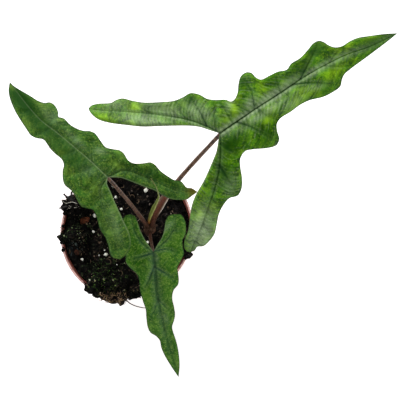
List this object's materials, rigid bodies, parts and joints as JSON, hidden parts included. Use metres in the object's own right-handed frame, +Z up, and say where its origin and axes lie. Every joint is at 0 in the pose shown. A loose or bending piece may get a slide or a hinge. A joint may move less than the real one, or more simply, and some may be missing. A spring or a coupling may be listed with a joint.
{
  "type": "potted alocasia plant",
  "caption": "Young arrow-leaved alocasia in a round tapered nursery pot, with waved dark green blades on slim brown petioles.",
  "frame": {"origin": "centre of the pot's underside, on the surface that it stands on", "axes": "+Z up, out of the pot's mouth. +X and +Y level: the largest leaf points 30 degrees from +X towards +Y, and the front leaf points along -Y"},
  "size_m": [0.3265, 0.2962, 0.2637],
  "materials": {
    "pot_plastic": "thin moulded terracotta-pink polypropylene, low sheen",
    "potting_mix": "moist near-black peat with perlite and coir fibre",
    "bark": "rough reddish brown bark",
    "rootstock": "fibrous brown corm skin",
    "petiole": "smooth brown-purple stalk with mottled bands",
    "leaf_blade": "waxy mottled dark green leaf",
    "new_leaf": "fresh yellow-green rolled leaf"
  },
  "bodies": {
    "root": {"pot": "pot_plastic", "potting_mix": "potting_mix", "bark_chip_1": "bark", "bark_chip_2": "bark", "rootstock": "rootstock", "petiole_left": "petiole", "petiole_right": "petiole", "petiole_front": "petiole", "blade_left": "leaf_blade", "blade_right": "leaf_blade", "blade_front": "leaf_blade", "new_leaf": "new_leaf"}
  },
  "joints": []
}
